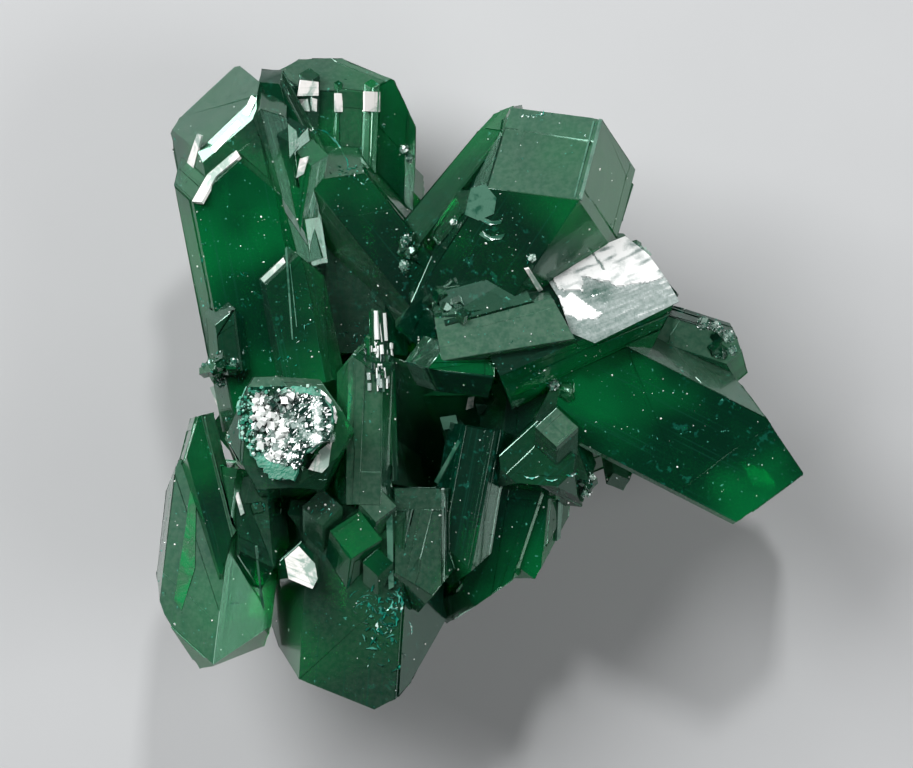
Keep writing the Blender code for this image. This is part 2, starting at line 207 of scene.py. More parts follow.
def piece_from(mesh, name, *materials):
    """Turns a worked mesh into a piece that rides on the cluster's body and stays in the solid's box."""
    for vertex in mesh.verts:
        vertex.co = [min(max(value, low), high) for value, low, high in zip(vertex.co, *cad_bounds)]
    data = bpy.data.meshes.new(name)
    mesh.to_mesh(data)
    mesh.free()
    for material in materials:
        data.materials.append(material)
    piece = link(bpy.data.objects.new(name, data))
    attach(piece, "root")
    return piece


# Studio


def add_camera():
    """Looks straight down, so that the cluster fills the frame as it does in the photo."""
    data = bpy.data.cameras.new("camera")
    data.lens = LENS
    data.sensor_width = SENSOR
    data.clip_start = NEAREST_SEEN
    camera = link(bpy.data.objects.new("camera", data))
    distance = LENS / SENSOR * PHOTO_WIDTH / PIXELS_PER_MM
    x = (PHOTO_WIDTH / 2.0 - PIXEL_AT_ORIGIN[0]) / PIXELS_PER_MM
    y = (PIXEL_AT_ORIGIN[1] - PHOTO_HEIGHT / 2.0) / PIXELS_PER_MM
    camera.location = Vector((x, y, FOCUS_HEIGHT + distance)) * MM
    bpy.context.scene.camera = camera


def add_soft_box(name, place, width, power):
    """A soft box turned toward the middle of the cluster."""
    data = bpy.data.lights.new(name, "AREA")
    data.shape = "SQUARE"
    data.size = width * MM
    data.energy = power
    lamp = link(bpy.data.objects.new(name, data))
    lamp.location = Vector(place) * MM
    lamp.rotation_euler = (LIT_POINT - Vector(place)).to_track_quat("-Z", "Y").to_euler()


def add_studio():
    world = bpy.data.worlds.new("studio air")
    world.use_nodes = True
    background = world.node_tree.nodes["Background"]
    background.inputs["Color"].default_value = AIR_COLOUR
    background.inputs["Strength"].default_value = AIR_STRENGTH
    bpy.context.scene.world = world
    for soft_box in SOFT_BOXES:
        add_soft_box(*soft_box)


def add_floor():
    mesh = bmesh.new()
    bmesh.ops.create_grid(mesh, x_segments=1, y_segments=1, size=FLOOR_REACH * MM)
    data = bpy.data.meshes.new("floor")
    mesh.to_mesh(data)
    mesh.free()
    data.materials.append(floor_finish())
    link(bpy.data.objects.new("floor", data))


# Shader work


class Nodes:
    """Adds and joins the nodes of one material or group."""

    def __init__(self, tree):
        self.tree = tree

    def fill(self, socket, value):
        """Joins a socket to another, or sets it to a plain value."""
        if isinstance(value, bpy.types.NodeSocket):
            self.tree.links.new(value, socket)
        else:
            socket.default_value = value

    def add(self, kind, inputs=None, **settings):
        made = self.tree.nodes.new("ShaderNode" + kind)
        for key, value in settings.items():
            setattr(made, key, value)
        for key, value in (inputs or {}).items():
            self.fill(made.inputs[key], value)
        return made

    def math(self, operation, first, second=0.0, third=0.0):
        return self.add("Math", {0: first, 1: second, 2: third}, operation=operation).outputs[0]

    def spread(self, value, low, high, to_low=0.0, to_high=1.0):
        """Stretches a value from one range to another, smoothly, and holds it there."""
        made = self.add("MapRange", {"Value": value, "From Min": low, "From Max": high,
                                     "To Min": to_low, "To Max": to_high}, interpolation_type="SMOOTHSTEP")
        return made.outputs["Result"]

    def blend(self, amount, first, second):
        """Mixes two colours. The mix node's colour sockets are numbers 6 and 7."""
        return self.add("Mix", {0: amount, 6: first, 7: second}, data_type="RGBA").outputs[2]

    def noise(self, vector, scale, detail=2.0, roughness=0.5, distortion=0.0):
        return self.add("TexNoise", {"Vector": vector, "Scale": scale, "Detail": detail,
                                     "Roughness": roughness, "Distortion": distortion}).outputs["Fac"]

    def bump(self, height, strength):
        inputs = {"Height": height, "Strength": strength, "Distance": BUMP_DEPTH * MM}
        return self.add("Bump", inputs).outputs["Normal"]

    def group(self, made_group, inputs):
        return self.add("Group", inputs, node_tree=made_group).outputs


def new_group(name, inputs, outputs):
    """A shader group whose sockets all hold plain numbers."""
    tree = bpy.data.node_groups.new(name, "ShaderNodeTree")
    for socket in inputs:
        tree.interface.new_socket(name=socket, in_out="INPUT", socket_type="NodeSocketFloat")
    for socket in outputs:
        tree.interface.new_socket(name=socket, in_out="OUTPUT", socket_type="NodeSocketFloat")
    given = tree.nodes.new("NodeGroupInput").outputs
    out = tree.nodes.new("NodeGroupOutput").inputs
    return tree, Nodes(tree), given, out


def new_material(name):
    material = bpy.data.materials.new(name)
    material.use_nodes = True
    return material, Nodes(material.node_tree), material.node_tree.nodes["Principled BSDF"].inputs


def polish(surface, coat, coat_roughness):
    """What all finishes of the mineral share: how it bends light, and its bright skin."""
    surface["IOR"].default_value = REFRACTION
    surface["Coat Weight"].default_value = coat
    surface["Coat Roughness"].default_value = coat_roughness


def growth_line_group():
    """Fine lines along a face's growth direction. Height is for bump, Lines is a mask."""
    tree, nodes, given, out = new_group("growth lines", ("Lines per mm", "Evenness"), ("Height", "Lines"))
    along = nodes.add("UVMap", uv_map="growth").outputs["UV"]
    split = nodes.add("SeparateXYZ", {"Vector": along}).outputs
    across = nodes.math("MULTIPLY", split["Y"], given["Lines per mm"])
    run = nodes.math("MULTIPLY", split["X"], 0.1)
    fine = nodes.noise(nodes.add("CombineXYZ", {"X": run, "Y": across}).outputs["Vector"], 1.0, 1.0, 0.65)
    slow = nodes.noise(nodes.add("CombineXYZ", {"X": run, "Y": split["Y"]}).outputs["Vector"], 1.3, 0.0)
    strength = nodes.math("MAXIMUM", nodes.spread(slow, 0.42, 0.62), given["Evenness"])
    nodes.fill(out["Height"], nodes.math("MULTIPLY", fine, strength))
    nodes.fill(out["Lines"], nodes.math("MULTIPLY", nodes.spread(fine, 0.55, 0.72), strength))
    return tree


def haze_group():
    """What lies just under the faces: soft clouds, flecks of healed cracks, and fine teal specks."""
    inputs = ("Cloud size mm", "Fleck size mm")
    tree, nodes, given, out = new_group("haze", inputs, ("Cloud", "Fleck", "Speck"))
    place = nodes.add("TexCoord").outputs["Object"]
    cloud = nodes.noise(place, nodes.math("DIVIDE", 1.0 / MM, given["Cloud size mm"]), 2.0, 0.5)
    fleck = nodes.noise(place, nodes.math("DIVIDE", 1.0 / MM, given["Fleck size mm"]), 2.0, 0.75)
    speck = nodes.noise(place, 7.0 / MM, 1.0, 0.5)
    patch = nodes.spread(nodes.math("SUBTRACT", 1.0, cloud), 0.5, 0.62)
    nodes.fill(out["Cloud"], nodes.spread(cloud, 0.36, 0.66))
    nodes.fill(out["Fleck"], nodes.math("MULTIPLY", nodes.spread(fleck, 0.6, 0.68), patch))
    nodes.fill(out["Speck"], nodes.spread(nodes.math("MULTIPLY_ADD", fleck, 0.3, speck), 0.89, 0.93))
    return tree


def tone_group():
    """The tone of each grain of a crust, from 0 to 1, with a fine speckle over it."""
    tree, nodes, given, out = new_group("grain tone", ("Fine speckle",), ("Tone",))
    own = nodes.add("Attribute", attribute_name="tone").outputs["Fac"]
    speckle = nodes.noise(nodes.add("TexCoord").outputs["Object"], 9.0 / MM, 2.0, 0.7)
    shift = nodes.math("MULTIPLY", nodes.math("SUBTRACT", speckle, 0.5), given["Fine speckle"])
    nodes.fill(out["Tone"], nodes.math("ADD", own, shift))
    return tree


def floor_finish():
    material, nodes, surface = new_material("pale_floor")
    grain = nodes.noise(nodes.add("TexCoord").outputs["Object"], 60.0, 4.0)
    nodes.fill(surface["Base Color"], nodes.blend(nodes.spread(grain, 0.3, 0.7), *FLOOR_TONES))
    surface["Roughness"].default_value = 0.7
    return material


def crystal_finish(lines, haze):
    """Cloudy emerald green under a bright polished skin, brighter green where a face has painted inner
    light, and paler and duller where it has etching, the pale grey being a painted sheen.
    """
    material, nodes, surface = new_material("emerald_crystal")
    etch_and_sheen = nodes.add("Attribute", attribute_name="etch_and_sheen").outputs["Fac"]
    painted_glow = nodes.add("Attribute", attribute_name="painted_glow").outputs["Fac"]
    growth = nodes.group(lines, {"Lines per mm": 9.0, "Evenness": 0.15})
    inner = nodes.group(haze, {"Cloud size mm": 6.5, "Fleck size mm": 0.45})
    grain = nodes.noise(nodes.add("TexCoord").outputs["Object"], 5.0 / MM, 1.0, 0.7)
    # Clouds and a face's painted inner light make the body brighter green
    bright = nodes.math("ADD", inner["Cloud"], painted_glow)
    body = nodes.blend(nodes.spread(bright, 0.2, 1.7), DEEP_GREEN, CLOUD_AND_PAINTED_GLOW_GREEN)
    body = nodes.blend(nodes.math("MULTIPLY", growth["Lines"], 0.4), body, LINE_GREEN)
    body = nodes.blend(nodes.math("MULTIPLY", inner["Fleck"], 0.4), body, FLECK_TEAL)
    # The pale colour is a painted sheen of the soft light, on faces with etching
    pale = nodes.blend(nodes.spread(grain, 0.25, 0.75), ETCHED_SHEEN_LOW, ETCHED_SHEEN_HIGH)
    pale = nodes.blend(nodes.math("MULTIPLY", growth["Lines"], 0.5), pale, ETCHED_SHEEN_LINE)
    etched_sheen = nodes.math("MULTIPLY", etch_and_sheen, nodes.spread(inner["Cloud"], 0.0, 1.0, 1.0, 0.8))
    colour = nodes.blend(etched_sheen, body, pale)
    nodes.fill(surface["Base Color"], nodes.blend(inner["Speck"], colour, SPECK_TEAL))
    nodes.fill(surface["Roughness"], nodes.math("MULTIPLY_ADD", etch_and_sheen, 0.18, 0.16))
    height = nodes.math("MULTIPLY_ADD", grain, 0.22, growth["Height"])
    nodes.fill(surface["Normal"], nodes.bump(height, 0.22))
    polish(surface, 0.4, 0.04)
    surface["Coat IOR"].default_value = 1.6
    surface["Specular Tint"].default_value = SKIN_TINT
    surface["Transmission Weight"].default_value = CLEARNESS
    inside_light = nodes.add("VolumeAbsorption", {"Color": SWALLOWED, "Density": SWALLOWED_DENSITY})
    nodes.fill(nodes.tree.nodes["Material Output"].inputs["Volume"], inside_light.outputs["Volume"])
    return material


def bright_finish(name, lines, colours, roughness, lines_per_mm, coat):
    """A glassy surface with growth lines, in two colours: a step, ledge or strip on a face."""
    material, nodes, surface = new_material(name)
    growth = nodes.group(lines, {"Lines per mm": lines_per_mm, "Evenness": 0.6})
    patch = nodes.noise(nodes.add("TexCoord").outputs["Object"], 1.1 / MM, 5.0, 0.65, 0.6)
    amount = nodes.math("MULTIPLY_ADD", growth["Lines"], -0.5, nodes.spread(patch, 0.36, 0.6))
    nodes.fill(surface["Base Color"], nodes.blend(nodes.spread(amount, 0.0, 1.0), *colours))
    nodes.fill(surface["Roughness"], nodes.spread(patch, 0.3, 0.7, roughness + 0.12, roughness))
    height = nodes.math("MULTIPLY_ADD", patch, 1.5, growth["Height"])
    nodes.fill(surface["Normal"], nodes.bump(height, 0.6))
    polish(surface, coat, 0.05)
    return material


def crust_finish(name, tones, stops, roughness, change, coat=1.0, shine=0.5):
    """Small crystals, each with its own tone out of those given."""
    material, nodes, surface = new_material(name)
    tone = nodes.group(tones, {"Fine speckle": 0.25})["Tone"]
    ramp = nodes.add("ValToRGB", {"Fac": tone})
    ramp.color_ramp.interpolation = change
    while len(ramp.color_ramp.elements) < len(stops):
        ramp.color_ramp.elements.new(1.0)
    for element, (place, colour) in zip(ramp.color_ramp.elements, stops):
        element.position = place
        element.color = colour
    nodes.fill(surface["Base Color"], ramp.outputs["Color"])
    nodes.fill(surface["Roughness"], nodes.spread(tone, 0.0, 1.0, roughness, roughness + 0.15))
    surface["Specular IOR Level"].default_value = shine
    polish(surface, coat, 0.03)
    return material


# The crystals


def only(kind, parts):
    return [part for part in parts if isinstance(part, kind)]


def growth_direction(face):
    """The direction of a face's growth lines: along its longest edge."""
    longest = max(face.edges, key=lambda edge: edge.calc_length())
    return (longest.verts[1].co - longest.verts[0].co).normalized()


def map_face(face, along, growth):
    """Maps a face in millimetres, with U along its growth lines."""
    across = face.normal.cross(along)
    for corner in face.loops:
        place = corner.vert.co / MM
        corner[growth].uv = (place.dot(along), place.dot(across))


def flat_faces(node):
    """The cluster as whole flat faces, each with its growth direction, its etching with a painted grey
    sheen, and its painted inner light.
    """
    mesh = bmesh.new()
    mesh.from_mesh(node.data)
    bmesh.ops.remove_doubles(mesh, verts=mesh.verts[:], dist=1e-7)
    one_face = math.radians(SAME_FACE_ANGLE)
    bmesh.ops.dissolve_limit(mesh, angle_limit=one_face, verts=mesh.verts[:], edges=mesh.edges[:])
    chance = random.Random(5)
    along = mesh.faces.layers.float_vector.new("along")
    etch_and_sheen = mesh.faces.layers.float.new("etch_and_sheen")
    painted_glow = mesh.faces.layers.float.new("painted_glow")
    mesh.faces.ensure_lookup_table()
    for face in mesh.faces:
        face[along] = growth_direction(face)
        face[etch_and_sheen] = chance.uniform(*ETCH_AND_SHEEN_ELSEWHERE) ** 1.5
        face[painted_glow] = chance.uniform(*PAINTED_GLOW_ELSEWHERE)
    skin = BVHTree.FromBMesh(mesh)
    for (x, y), etched_sheen, painted_glow_share in FACE_LOOKS:
        found = skin.ray_cast(Vector((x, y, FAR)) * MM, DOWN)[2]
        if found is not None:
            mesh.faces[found][etch_and_sheen] = etched_sheen
            mesh.faces[found][painted_glow] = painted_glow_share
    return mesh


def split_face(mesh, face, point, across, chance):
    """Cuts one flat face along a line that may be jagged, and returns the parts beyond it."""
    own = [face] + face.verts[:] + face.edges[:]
    cut = bmesh.ops.bisect_plane(mesh, geom=own, dist=1e-8, plane_co=point, plane_no=across)
    parts = only(bmesh.types.BMFace, cut["geom"])
    line = only(bmesh.types.BMEdge, cut["geom_cut"])
    jags = chance.choice(TERRACE_JAGS)
    for edge in line:
        if edge.calc_length() < JAGGED_FROM * MM:
            continue
        for number in range(jags, 0, -1):
            made = bmesh.utils.edge_split(edge, edge.verts[0], number / (number + 1.0))[1]
            made.co += across * chance.uniform(-1.0, 1.0) * TERRACE_JAG * MM
    return [part for part in parts if (part.calc_center_median() - point).dot(across) > 0.0]


def raise_terraces(mesh, chance):
    """Growth terraces: low flat steps whose edges run beside the edges of the face."""
    along_layer = mesh.faces.layers.float_vector["along"]
    least = TERRACE_AREA * MM * MM
    for face in [face for face in mesh.faces if face.calc_area() > least and face.normal.z > CUT_FACE]:
        for _ in range(chance.choice(TERRACE_COUNTS)):
            if not face.is_valid or face.calc_area() < least:
                break
            edge = chance.choice(sorted(face.edges, key=lambda edge: edge.calc_length())[-3:])
            line = (edge.verts[1].co - edge.verts[0].co).normalized()
            inward = face.normal.cross(line)
            if (face.calc_center_median() - edge.verts[0].co).dot(inward) < 0.0:
                inward = -inward
            extent = max((vertex.co - edge.verts[0].co).dot(inward) for vertex in face.verts)
            point = edge.verts[0].co + inward * extent * chance.uniform(*TERRACE_REACH)
            beyond = split_face(mesh, face, point, inward, chance)
            if not beyond:
                continue
            face = max(beyond, key=lambda part: part.calc_area())
            height = chance.choice(TERRACE_WAYS) * chance.uniform(*TERRACE_HEIGHTS) * MM
            outward = face.normal.copy()
            bmesh.ops.inset_region(mesh, faces=[face], thickness=TERRACE_LEDGE * MM, depth=height)
            centre = face.calc_center_median()
            along = face[along_layer]
            across = outward.cross(along)
            tilt = across * chance.uniform(-1.0, 1.0) + along * chance.uniform(-1.0, 1.0)
            for vertex in face.verts:
                vertex.co += outward * (vertex.co - centre).dot(tilt) * TERRACE_TILT
            face.normal_update()


def wear_edges(mesh, chance):
    """Makes crystal edges uneven, with a nick here and there, and takes off their sharpness."""
    sharp = [edge for edge in mesh.edges if edge.calc_face_angle(0.0) > math.radians(EDGE_ANGLE)]
    worn = list(sharp)
    for edge in sharp:
        steps = int(edge.calc_length() / MM / WEAR_STEP)
        inward = -sum((face.normal for face in edge.link_faces), Vector((0.0, 0.0, 0.0))).normalized()
        for number in range(steps, 0, -1):
            more, made = bmesh.utils.edge_split(edge, edge.verts[0], number / (number + 1.0))
            worn.append(more)
            depth = WEAR_DEPTH * chance.random()
            if chance.random() < NICK_SHARE:
                depth = NICK_DEPTH * chance.random()
            made.co += inward * depth * MM
    bmesh.ops.bevel(mesh, geom=worn, offset=EDGE_WEAR * MM, offset_type="OFFSET", segments=1,
                    affect="EDGES", clamp_overlap=True, profile=0.5)


def lay_growth_map(mesh):
    """Maps every face along the growth lines of the crystal face that it belongs to."""
    along_layer = mesh.faces.layers.float_vector["along"]
    growth = mesh.loops.layers.uv.new("growth")
    for face in mesh.faces:
        along = face[along_layer].copy()
        along -= face.normal * along.dot(face.normal)
        if along.length < LEAST_ALONG:
            along = growth_direction(face)
        map_face(face, along.normalized(), growth)


def make_crystals(finish):
    """The crystals themselves, in place of the plain solid."""
    mesh = flat_faces(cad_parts[NODE])
    raise_terraces(mesh, random.Random(11))
    wear_edges(mesh, random.Random(13))
    lay_growth_map(mesh)
    skin = BVHTree.FromBMesh(mesh)
    piece = piece_from(mesh, "cluster_crystals", finish)
    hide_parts(NODE)
    return skin


# Places on the crystals


def surface_under(skin, x, y):
    """The place and the outward direction of the crystal surface that is seen at x, y."""
    for nudge in RAY_NUDGES:
        place, normal = skin.ray_cast(Vector((x + nudge, y + nudge, FAR)) * MM, DOWN)[:2]
        if place is not None:
            break
    return place, normal


def surface_around(skin, chance):
    """A place on the cluster seen from any side but from below, with its outward direction."""
    while True:
        heading = Vector((chance.gauss(0.0, 1.0), chance.gauss(0.0, 1.0), abs(chance.gauss(0.0, 0.5))))
        heading.normalize()
        target = Vector([chance.uniform(low, high) for low, high in RAY_TARGETS]) * MM
        place, normal = skin.ray_cast(target + heading * FAR * MM, -heading)[:2]
        if place is not None and normal.dot(heading) > 0.25:
            return place, normal


def on_plane(place, normal, x, y):
    """The point seen at x, y on the plane of a face."""
    point = Vector((x * MM, y * MM, 0.0))
    point.z = place.z - (point - place).to_2d().dot(normal.to_2d()) / normal.z
    return point


def ways_on(normal, turn):
    """Two directions on a face, square to each other, turned by an angle."""
    side = normal.orthogonal().normalized()
    side.rotate(Matrix.Rotation(turn, 3, normal))
    return side, normal.cross(side)


def noise_at(x, y, z):
    return noise.noise(Vector((x, y, z)))


def any_turn(chance):
    return Euler([chance.uniform(0.0, math.tau) for _ in range(3)]).to_matrix()


def leaning_turn(normal, lean, chance):
    """Stands a grain's diagonal on a face, with a lean of some degrees at most."""
    stand = Vector((1.0, 1.0, 1.0)).rotation_difference(normal).to_matrix()
    spin = Matrix.Rotation(chance.uniform(0.0, math.tau / 6.0), 3, normal)
    tilt = Euler([math.radians(chance.uniform(-lean, lean)) for _ in range(3)]).to_matrix()
    return tilt @ spin @ stand


# Outlines seen from above, in millimetres


def middle_of(outline):
    return sum((Vector(corner) for corner in outline), Vector((0.0, 0.0))) / len(outline)


def inside(outline, x, y):
    """True if the point is inside the outline."""
    found = False
    for (x1, y1), (x2, y2) in zip(outline, outline[1:] + outline[:1]):
        if (y1 > y) != (y2 > y) and x < (x2 - x1) * (y - y1) / (y2 - y1) + x1:
            found = not found
    return found


def ragged(outline, step, amount, chance):
    """The same outline with more points, each moved a little, so that its edge looks broken."""
    found = []
    for start, end in zip(outline, outline[1:] + outline[:1]):
        start, end = Vector(start), Vector(end)
        pieces = max(1, int((end - start).length / step))
        for number in range(pieces):
            x, y = start.lerp(end, number / pieces)
            found.append((x + chance.uniform(-amount, amount), y + chance.uniform(-amount, amount)))
    return found


def scatter(outline, count, chance):
    """Points spread at random inside an outline."""
    xs = [x for x, _ in outline]
    ys = [y for _, y in outline]
    found = []
    while len(found) < count:
        x = chance.uniform(min(xs), max(xs))
        y = chance.uniform(min(ys), max(ys))
        if inside(outline, x, y):
            found.append((x, y))
    return found


# Small forms that lie on the crystals


def crust():
    """An empty mesh whose faces have a tone."""
    mesh = bmesh.new()
    mesh.faces.layers.float.new("tone")
    mesh.loops.layers.uv.new("growth")
    return mesh


def set_tone(mesh, faces, tone):
    shade = mesh.faces.layers.float["tone"]
    for face in faces:
        face[shade] = tone


def faces_at(corners):
    return {face for vertex in corners for face in vertex.link_faces}


def slab(mesh, top_points, foot_points):
    """A closed plate between two rings of points. Returns its faces."""
    top = [mesh.verts.new(point) for point in top_points]
    foot = [mesh.verts.new(point) for point in foot_points]
    faces = [mesh.faces.new(top), mesh.faces.new(list(reversed(foot)))]
    for here in range(len(top)):
        after = (here + 1) % len(top)
        faces.append(mesh.faces.new((foot[here], foot[after], top[after], top[here])))
    return faces


def add_grain(mesh, centre, size, stretch, turn, tone):
    """One tiny crystal: a cube drawn out along its diagonal, which is dioptase's own end form."""
    made = bmesh.ops.create_cube(mesh, size=size)["verts"]
    diagonal = Vector((1.0, 1.0, 1.0)).normalized()
    for vertex in made:
        vertex.co += diagonal * vertex.co.dot(diagonal) * (stretch - 1.0)
    bmesh.ops.transform(mesh, matrix=Matrix.Translation(centre) @ turn.to_4x4(), verts=made)
    set_tone(mesh, faces_at(made), tone)


def add_chip(mesh, centre, normal, size, turn, tone):
    """A thin flat chip with three to five corners that lies on a face."""
    corners = 3 + int(tone * 97.0) % 3
    side, ahead = ways_on(normal, turn)
    ring = []
    for corner in range(corners):
        reach = 0.6 + 0.4 * math.sin(tone * 50.0 + corner * 2.4)
        angle = math.tau * corner / corners
        spot = side * math.cos(angle) * CHIP_LENGTH + ahead * math.sin(angle) * CHIP_WIDTH
        curl = normal * size * CHIP_CURL * math.cos(angle + turn)
        ring.append(centre + spot * size * reach / 2.0 + curl)
    top = [point + normal * size * CHIP_TOP for point in ring]
    foot = [point - normal * size * CHIP_ROOT for point in ring]
    set_tone(mesh, slab(mesh, top, foot), tone)


def add_crescent(mesh, centre, normal, radius, sweep, width, turn, tone):
    """A thin curved sliver on a face, like the lip of a shell-shaped crack."""
    side, ahead = ways_on(normal, turn)
    inner, outer = [], []
    for step in range(CRACK_STEPS + 1):
        share = step / CRACK_STEPS
        angle = (share - 0.5) * sweep
        uneven = 0.6 + 0.4 * math.sin(step * 2.1 + turn)
        half = width * math.sin(math.pi * share) * uneven / 2.0 + CRACK_LEAST * MM
        way = side * math.cos(angle) + ahead * math.sin(angle)
        spot = centre + (way - side) * radius
        inner.append(spot - way * half - normal * half * 0.5)
        outer.append(spot + way * half + normal * (half * 0.6 + CRACK_LIP * MM))
    below = [point - normal * CRACK_ROOT * MM for point in outer]
    rows = [[mesh.verts.new(point) for point in row] for row in (inner, outer, below)]
    faces = []
    for first, second in ((0, 1), (1, 2), (2, 0)):
        for step in range(CRACK_STEPS):
            ring = (rows[first][step], rows[first][step + 1], rows[second][step + 1], rows[second][step])
            faces.append(mesh.faces.new(ring))
    for end in (0, CRACK_STEPS):
        faces.append(mesh.faces.new([row[end] for row in rows]))
    set_tone(mesh, faces, tone)


def relief_sheet(mesh, skin, outline, cell, lift, tone):
    """Covers a flat face, inside an outline, with a fine sheet that lift(x, y) raises, in millimetres."""
    growth = mesh.loops.layers.uv["growth"]
    place, normal = surface_under(skin, *middle_of(outline))
    made = [mesh.faces.new([mesh.verts.new(on_plane(place, normal, x, y)) for x, y in outline])]
    for axis in (0, 1):
        low = min(corner[axis] for corner in outline)
        high = max(corner[axis] for corner in outline)
        across = Vector((0.0, 0.0, 0.0))
        across[axis] = 1.0
        for step in range(1, int((high - low) / cell) + 1):
            cut = Vector((0.0, 0.0, 0.0))
            cut[axis] = (low + step * cell) * MM
            parts = list(dict.fromkeys(part for face in made for part in (face, *face.edges, *face.verts)))
            done = bmesh.ops.bisect_plane(mesh, geom=parts, dist=1e-9, plane_co=cut, plane_no=across)
            made = only(bmesh.types.BMFace, done["geom"])
    for face in made:
        for corner in face.loops:
            corner[growth].uv = corner.vert.co.xy / MM
    for vertex in {vertex for face in made for vertex in face.verts}:
        vertex.co += normal * lift(vertex.co.x / MM, vertex.co.y / MM) * MM
    rim = [edge for face in made for edge in face.edges if edge.is_boundary]
    skirt = bmesh.ops.extrude_edge_only(mesh, edges=rim)["geom"]
    for vertex in only(bmesh.types.BMVert, skirt):
        vertex.co -= normal * SHEET_ROOT * MM
    shade = mesh.faces.layers.float["tone"]
    for face in mesh.faces:
        face[shade] = tone(face.calc_center_median() / MM)


# Steps, ledges and strips

# Narrow steps that shine white, a painted highlight where they catch the lamp, as outlines seen from
# above, in millimetres
BRIGHT_STEPS = (
    ((-11.9, 8.0), (-11.6, 7.5), (-10.9, 9.7), (-11.1, 9.8)),
    ((-10.55, 9.25), (-9.5, 10.35), (-9.35, 10.15), (-10.4, 9.05)),
    ((-9.3, 10.6), (-8.95, 11.35), (-8.75, 11.2), (-9.05, 10.5)),
    ((-11.25, 7.05), (-10.55, 8.35), (-9.5, 9.1), (-9.35, 8.85), (-10.3, 8.05), (-10.85, 7.0)),
    ((-8.55, 4.0), (-7.65, 4.85), (-7.55, 4.65), (-8.4, 3.85)),
    ((-7.15, 11.4), (-7.05, 12.05), (-6.35, 12.0), (-6.35, 11.45)),
    ((-7.1, 10.85), (-7.1, 11.3), (-6.75, 11.3), (-6.7, 10.8)),
    ((-6.6, 10.85), (-6.6, 11.35), (-6.4, 11.3), (-6.42, 10.8)),
    ((-5.68, 10.8), (-5.68, 11.55), (-5.4, 11.55), (-5.4, 10.8)),
    ((-4.5, 10.8), (-4.5, 11.6), (-3.9, 11.6), (-3.9, 10.8)),
    ((-7.15, 8.05), (-7.0, 8.8), (-6.65, 8.9), (-6.85, 8.2)),
    ((1.9, 4.35), (2.08, 4.4), (2.85, 3.3), (2.7, 3.15)),
    ((-0.4, -1.2), (-0.3, -0.7), (-0.05, -0.65), (-0.1, -1.1)),
    ((-6.59, -3.51), (-6.06, -3.65), (-5.8, -3.38), (-5.66, -2.38), (-6.16, -2.78)),
    ((-7.6, -7.1), (-7.05, -6.6), (-6.4, -7.3), (-6.3, -7.9), (-6.5, -8.3), (-7.45, -7.9)),
    ((-9.6, -4.5), (-9.45, -4.45), (-9.2, -5.3), (-9.35, -5.4)),
    ((-10.9, -0.3), (-10.75, -0.25), (-9.65, -3.25), (-9.78, -3.35)),
)

# Growth plates and ledges that stand out paler and duller than the face they lie on
PALE_LEDGES = (
    ((-0.45, 6.55), (-0.2, 7.55), (0.35, 7.7), (0.8, 7.15), (0.7, 6.55), (0.1, 6.3)),
    ((0.1, 6.35), (0.5, 6.12), (0.95, 6.15), (1.02, 6.28), (0.6, 6.26), (0.2, 6.45)),
    ((0.12, 5.75), (0.5, 5.5), (1.0, 5.55), (1.12, 5.75), (0.6, 5.66), (0.2, 5.85)),
    ((4.85, 10.3), (4.98, 10.25), (4.1, 7.0), (3.98, 7.05)),
    ((4.62, 10.2), (4.68, 10.18), (3.86, 7.1), (3.8, 7.12)),
    ((-7.5, 10.2), (-7.15, 9.9), (-7.05, 9.3), (-7.4, 8.8)),
    ((-8.1, 7.4), (-7.9, 7.5), (-6.6, 5.5), (-6.75, 5.4)),
    ((-7.58, 5.2), (-7.5, 5.3), (-7.26, 1.6), (-7.32, 1.6)),
    ((-7.4, 4.6), (-7.36, 4.6), (-7.1, 2.1), (-7.14, 2.1)),
    ((3.3, -4.9), (3.5, -5.0), (3.4, -6.4), (3.25, -6.5)),
    ((-0.7, -2.4), (-0.6, -2.5), (-1.5, -4.15), (-1.65, -4.1)),
    ((-3.55, -5.2), (-3.3, -5.2), (-3.25, -8.2), (-3.45, -8.3)),
    ((-8.76, -6.6), (-8.68, -6.6), (-8.52, -9.2), (-8.6, -9.2)),
    ((0.0, -1.0), (0.65, -1.05), (0.6, -1.45), (0.1, -1.4)),
    ((-1.45, -1.5), (-0.8, -1.4), (-0.7, -1.9), (-1.3, -2.0)),
)

# Strips where clear green shows between paler faces
GREEN_STRIPS = (
    ((-11.35, -4.0), (-11.15, -4.2), (-11.2, -7.5), (-11.75, -9.2), (-12.05, -8.8), (-11.6, -6.0)),
)

STEP_HEIGHT = 0.025
STEP_ROOT = 0.06
STEP_RISE = 0.15
STEEPEST_PLATE = 0.15


def make_plates(skin, name, outlines, finish):
    """Thin plates that follow the face under them, so that they sit right from any side."""
    mesh = bmesh.new()
    growth = mesh.loops.layers.uv.new("growth")
    for outline in outlines:
        middle = middle_of(outline)
        place, normal = surface_under(skin, *middle)
        if place is None or normal.z < STEEPEST_PLATE:
            continue
        lift = STEP_HEIGHT * MM
        for x, y in outline:
            under = surface_under(skin, (x * 2.0 + middle.x) / 3.0, (y * 2.0 + middle.y) / 3.0)[0]
            if under is not None and (under - place).dot(normal) < STEP_RISE * MM:
                lift = max(lift, (under - place).dot(normal) + STEP_HEIGHT * MM)
        ring = [on_plane(place, normal, x, y) for x, y in outline]
        top = [point + normal * lift for point in ring]
        foot = [point - normal * STEP_ROOT * MM for point in ring]
        for face in slab(mesh, top, foot):
            face.normal_update()
            map_face(face, growth_direction(face), growth)
    bmesh.ops.recalc_face_normals(mesh, faces=mesh.faces[:])
    piece_from(mesh, name, finish)


# The broken end that glitters, and the teal crumbs around it

